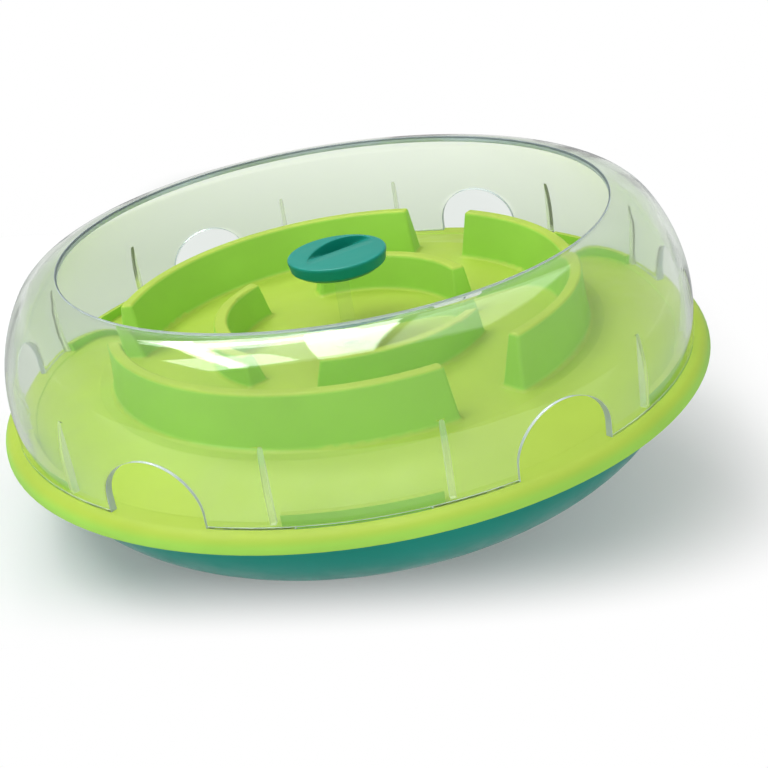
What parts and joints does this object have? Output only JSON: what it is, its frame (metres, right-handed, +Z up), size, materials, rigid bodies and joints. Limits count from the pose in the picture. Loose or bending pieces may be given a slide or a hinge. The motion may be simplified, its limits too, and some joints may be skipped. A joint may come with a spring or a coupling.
{
  "type": "rocking slow feeder bowl",
  "caption": "Rocking slow feeder: weighted round-bottomed base, green maze tray, clear lift-off dome with arched food exits and a quarter-turn lock knob.",
  "frame": {"origin": "centre of the flat foot under the rocker base, on the surface the bowl rests on when upright", "axes": "+Z up along the bowl's axis of revolution; +X through the middle of one exit arch; the six arches stand at 0, 60, 120, 180, 240 and 300 degrees"},
  "size_m": [0.286, 0.286, 0.1184],
  "materials": {
    "teal_plastic": "opaque injection-moulded teal plastic, semi-gloss",
    "knob_teal": "opaque injection-moulded blue-green plastic, semi-gloss",
    "lime_plastic": "opaque lime green plastic, smooth with a soft gloss",
    "clear_plastic": "clear polished plastic, faint cool tint at the edges",
    "cast_weight": "plain cast iron, hidden in the base",
    "steel": "zinc-plated steel fasteners, hidden"
  },
  "bodies": {
    "base": {"base_shell": "teal_plastic", "foot_cap": "teal_plastic", "ballast_weight": "cast_weight", "ballast_cover": "teal_plastic", "cover_screws": "steel"},
    "tray": {"tray": "lime_plastic"},
    "dome": {"dome": "clear_plastic"},
    "knob": {"knob": "knob_teal", "spindle": "clear_plastic", "lock_bar": "knob_teal", "bar_screw": "steel"}
  },
  "joints": [
    {"name": "tray_lift", "type": "slide", "parent": "base", "child": "tray", "axis": [0, 0, 1], "range_m": [0, 0.09]},
    {"name": "dome_lift", "type": "slide", "parent": "tray", "child": "dome", "axis": [0, 0, 1], "range_m": [0, 0.08]},
    {"name": "knob_turn", "type": "hinge", "parent": "tray", "child": "knob", "pos_m": [0, 0, 0.0712], "axis": [0, 0, 1], "range_deg": [0, 90]}
  ]
}
